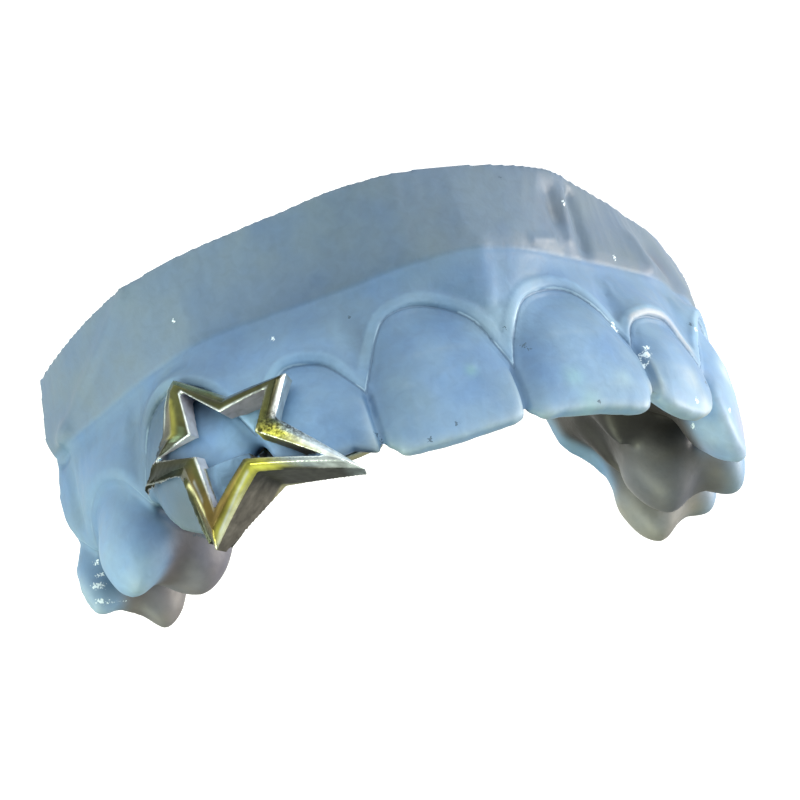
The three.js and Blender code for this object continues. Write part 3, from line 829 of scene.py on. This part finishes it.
def noise(nodes, place, scale, detail, **plugs):
    plugs = {"Vector": place, "Scale": scale, "Detail": detail, **plugs}
    return addNode(nodes, "TexNoise", plugs).outputs["Fac"]


def millimetrePlaces(nodes):
    place = addNode(nodes, "TexCoord").outputs["Object"]
    return addNode(nodes, "VectorMath", {0: place, "Scale": 1 / mm}, operation="SCALE").outputs["Vector"]


def cloudyFinish():
    # uneven finish that both materials share: noise that shades a colour, and the noise itself
    group = bpy.data.node_groups.new("cloudyFinish", "ShaderNodeTree")
    kinds = {"Color": "Color", "Place": "Vector"}
    for name in ("Color", "Place", "Scale", "Detail", "Distortion", "Darkest", "Brightest"):
        group.interface.new_socket(name, in_out="INPUT", socket_type="NodeSocket" + kinds.get(name, "Float"))
    group.interface.new_socket("Color", in_out="OUTPUT", socket_type="NodeSocketColor")
    group.interface.new_socket("Cloud", in_out="OUTPUT", socket_type="NodeSocketFloat")
    nodes, links = group.nodes, group.links
    given = nodes.new("NodeGroupInput").outputs
    result = nodes.new("NodeGroupOutput").inputs
    cloud = noise(nodes, given["Place"], given["Scale"], given["Detail"], Distortion=given["Distortion"])
    factor = carried(nodes, cloud, 0.3, 0.7, given["Darkest"], given["Brightest"])
    links.new(multiplied(nodes, given["Color"], factor), result["Color"])
    links.new(cloud, result["Cloud"])
    return group


cloudy = cloudyFinish()


def clouded(nodes, color, place, **values):
    plugs = {"Color": color, "Place": place, **values}
    node = addNode(nodes, "Group", plugs, node_tree=cloudy)
    return node.outputs["Color"], node.outputs["Cloud"]


# small marks on the cast as (along, up, radius), in millimetres
darkSpecks = [
    (9.37, 15.4, 0.1), (9.2, 15.7, 0.06), (6.6, 16.6, 0.11), (8.71, 7.36, 0.09), (4.86, 16.04, 0.09),
    (-0.94, 11.65, 0.1), (-1.1, 12.0, 0.06), (-4.39, 15.96, 0.09), (-14.7, 14.2, 0.13), (-17.0, 9.2, 0.1),
    (25.1, 15.0, 0.12), (-0.1, 10.4, 0.07), (-2.4, 0.9, 0.08),
]
# painted glints: pale spots of uncured resin painted bright as highlights
glintSpecks = [
    (-8.24, 10.45, 0.16), (-8.4, 10.75, 0.1), (-9.6, 12.7, 0.22), (-9.9, 12.2, 0.14), (-9.3, 13.3, 0.12),
    (-12.6, 15.8, 0.16), (-18.2, 15.2, 0.14), (-7.2, 2.1, 0.13), (-11.6, 4.9, 0.09), (-17.2, 9.6, 0.1),
    (32.9, 13.2, 0.12), (33.3, 14.6, 0.16), (33.7, 15.5, 0.12), (33.0, 14.0, 0.08), (13.6, 7.2, 0.08),
    (19.2, 3.6, 0.07),
]


def markShare(nodes, flat, marks, blur):
    # 1 inside any of the marks, with ragged edges from the blurred coordinates
    total = None
    for along, up, radius in marks:
        apart = addNode(nodes, "VectorMath", {0: flat, 1: (along, up, 0)}, operation="DISTANCE")
        apart = work(nodes, "ADD", apart.outputs["Value"], blur)
        share = softRange(nodes, apart, radius * 1.25, radius * 0.6)
        total = share if total is None else work(nodes, "MAXIMUM", total, share)
    return total


def castResinMaterial():
    material, nodes, links, shader = newMaterial("castResin")
    place = millimetrePlaces(nodes)
    outside = readAttribute(nodes, "outside")
    crisp = readAttribute(nodes, "crisp")
    flat = addNode(nodes, "SeparateXYZ", {0: readAttribute(nodes, "flatPlace", "Vector")}).outputs
    gap = flat["Z"]
    level = addNode(nodes, "CombineXYZ", {"X": flat["X"], "Y": flat["Y"], "Z": 0.0}).outputs[0]

    # broad blotches from cool to warm, and finer mottling
    tint = addNode(nodes, "ValToRGB", {"Fac": noise(nodes, place, 0.32, 3.0)})
    cool, warm = tint.color_ramp.elements
    cool.position = 0.3
    cool.color = (0.86, 0.93, 1.05, 1)
    warm.position = 0.7
    warm.color = (1.08, 1.04, 0.97, 1)
    color = multiplied(nodes, readAttribute(nodes, "tone", "Color"), tint.outputs["Color"])
    color, mottle = clouded(
        nodes, color, place, Scale=1.5, Detail=5.0, Distortion=0.6, Darkest=0.92, Brightest=1.07
    )

    # painted shade in the thin crease at the gum's edge, with a broken painted highlight as a pale hairline
    # beside it
    crease = work(nodes, "MULTIPLY", softRange(nodes, work(nodes, "ABSOLUTE", gap), 0.1, 0.03), crisp)
    color = blendColor(nodes, work(nodes, "MULTIPLY", crease, 0.35), color, (0.05, 0.09, 0.15, 1))
    hair = softRange(nodes, work(nodes, "ABSOLUTE", work(nodes, "SUBTRACT", gap, 0.09)), 0.055, 0.02)
    broken = softRange(nodes, noise(nodes, place, 0.45, 1.0), 0.47, 0.56)
    hair = work(nodes, "MULTIPLY", work(nodes, "MULTIPLY", hair, crisp), broken)
    color = blendColor(nodes, work(nodes, "MULTIPLY", hair, 0.5), color, (0.42, 0.58, 0.7, 1))

    # dark specks of dust, and painted glints: pale spots painted as highlights where uncured resin shines
    blur = work(nodes, "MULTIPLY", work(nodes, "SUBTRACT", noise(nodes, place, 8.0, 3.0), 0.5), 0.8)
    dark = work(nodes, "MULTIPLY", markShare(nodes, level, darkSpecks, blur), 0.75)
    color = blendColor(nodes, dark, color, (0.03, 0.06, 0.09, 1))
    pale = work(nodes, "MULTIPLY", markShare(nodes, level, glintSpecks, blur), outside)
    color = blendColor(nodes, work(nodes, "MULTIPLY", pale, 0.85), color, (0.7, 0.8, 0.85, 1))
    links.new(color, shader.inputs["Base Color"])

    links.new(carried(nodes, mottle, 0.3, 0.7, 0.46, 0.6), shader.inputs["Roughness"])
    shader.inputs["Specular IOR Level"].default_value = 0.4
    grain = work(nodes, "MULTIPLY", noise(nodes, place, 3.5, 6.0), 0.02)
    height = work(nodes, "ADD", grain, work(nodes, "MULTIPLY", mottle, 0.03))
    height = work(nodes, "SUBTRACT", height, work(nodes, "MULTIPLY", crease, 0.04))
    bump = addNode(nodes, "Bump", {"Height": height, "Strength": 0.6, "Distance": mm})
    links.new(bump.outputs["Normal"], shader.inputs["Normal"])
    return material


def paleGoldMaterial():
    material, nodes, links, shader = newMaterial("paleGold")
    place = millimetrePlaces(nodes)
    wall = readAttribute(nodes, "wall")
    outerWall = readAttribute(nodes, "outerWall")
    grainy = readAttribute(nodes, "grainy")

    # cloudy polish, brushed streaks on the outer walls and a grainy patch that the polish missed, its
    # sparkle painted in as glints
    color = readAttribute(nodes, "tone", "Color")
    color, _ = clouded(
        nodes, color, place, Scale=1.1, Detail=4.0, Distortion=0.8, Darkest=0.75, Brightest=1.25
    )
    plugs = {"Vector": place, "Scale": (2.5, 2.5, 0.35), "Rotation": (0.5, 0.3, 0)}
    streak = noise(nodes, addNode(nodes, "Mapping", plugs).outputs["Vector"], 0.8, 4.0)
    streaked = multiplied(nodes, color, carried(nodes, streak, 0.35, 0.72, 0.8, 1.35))
    color = blendColor(nodes, outerWall, color, streaked)
    grain = noise(nodes, place, 4.5, 3.0, Roughness=0.7)
    sparkling = multiplied(nodes, color, carried(nodes, grain, 0.42, 0.62, 0.35, 3.0))
    color = blendColor(nodes, grainy, color, sparkling)
    links.new(color, shader.inputs["Base Color"])

    links.new(carried(nodes, wall, 0.0, 1.0, 0.6, 0.3), shader.inputs["Metallic"])
    rough = carried(nodes, wall, 0.0, 1.0, 0.22, 0.45)
    rough = work(nodes, "ADD", rough, work(nodes, "MULTIPLY", grainy, 0.12))
    links.new(rough, shader.inputs["Roughness"])
    shader.inputs["Specular IOR Level"].default_value = 0.12
    height = work(nodes, "MULTIPLY", streak, 0.008)
    height = work(nodes, "ADD", height, work(nodes, "MULTIPLY", grain, 0.006))
    rugged = work(nodes, "MULTIPLY", work(nodes, "MULTIPLY", grain, grainy), 0.03)
    height = work(nodes, "ADD", height, rugged)
    bump = addNode(nodes, "Bump", {"Height": height, "Strength": 0.6, "Distance": mm})
    links.new(bump.outputs["Normal"], shader.inputs["Normal"])
    return material


castBody.data.materials.append(castResinMaterial())
starGrill.data.materials.append(paleGoldMaterial())
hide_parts("dental_cast")
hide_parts("star_grill")
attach(castBody, "root")
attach(starGrill, "root")


# floor, lights and camera; lengths in metres, powers in watts, turns in degrees

studio = {
    "floorSize": 3.0,
    "floorColor": (0.5, 0.5, 0.5, 1),
    "floorGlow": 0.92,
    "worldColor": (0.5, 0.52, 0.55, 1),
    "worldStrength": 0.6,
    "lightSize": 0.25,
    "lightTarget": (0, 0, 0.01),
    "lens": 87.317,
    "cameraPlace": (0.051647, -0.103195, 0.056739),
    "cameraTurns": (-66.089, -16.5093, -162.8212),
}

# left and front softboxes, then one low and one high on the right: place, power and colour
softboxes = {
    "leftSoftbox": ((-0.425, -0.114, 0.094), 3.8, (1.0, 0.95, 0.87)),
    "frontSoftbox": ((-0.077, -0.416, 0.155), 1.25, (0.85, 0.95, 1.0)),
    "rightLow": ((0.434, 0.076, 0.094), 1.3, (0.86, 0.97, 1.0)),
    "rightHigh": ((0.313, 0.055, 0.318), 1.9, (0.93, 1.0, 0.72)),
}


def makeFloor():
    pickNone()
    bpy.ops.mesh.primitive_plane_add(size=studio["floorSize"], location=(0, 0, 0))
    floor = bpy.context.object
    floor.name = "studioFloor"
    material, nodes, links, shader = newMaterial("paleFloor")
    shader.inputs["Base Color"].default_value = studio["floorColor"]
    shader.inputs["Roughness"].default_value = 0.9
    shader.inputs["Emission Color"].default_value = (1, 1, 1, 1)
    shader.inputs["Emission Strength"].default_value = studio["floorGlow"]
    floor.data.materials.append(material)


def addSoftbox(name, place, power, color):
    data = bpy.data.lights.new(name, "AREA")
    data.shape = "DISK"
    data.size = studio["lightSize"]
    data.energy = power
    data.color = color
    lamp = bpy.data.objects.new(name, data)
    lamp.location = place
    towards = Vector(studio["lightTarget"]) - Vector(place)
    lamp.rotation_euler = towards.to_track_quat("-Z", "Y").to_euler()
    bpy.context.scene.collection.objects.link(lamp)


def makeWorld():
    world = bpy.data.worlds.new("studioWorld")
    world.use_nodes = True
    background = world.node_tree.nodes["Background"]
    background.inputs["Color"].default_value = studio["worldColor"]
    background.inputs["Strength"].default_value = studio["worldStrength"]
    world.cycles_visibility.diffuse = False  # it shows in gloss alone and adds no light to dull surfaces
    bpy.context.scene.world = world
    bpy.context.scene.view_settings.view_transform = "Standard"


def makeCamera():
    data = bpy.data.cameras.new("photoCamera")
    data.lens = studio["lens"]
    data.sensor_width = 36
    data.clip_start = 0.005
    data.clip_end = 20
    camera = bpy.data.objects.new("photoCamera", data)
    camera.location = studio["cameraPlace"]
    camera.rotation_euler = [math.radians(turn) for turn in studio["cameraTurns"]]
    bpy.context.scene.collection.objects.link(camera)
    bpy.context.scene.camera = camera


makeFloor()
for name, (place, power, color) in softboxes.items():
    addSoftbox(name, place, power, color)
makeWorld()
makeCamera()
print("studio ready")
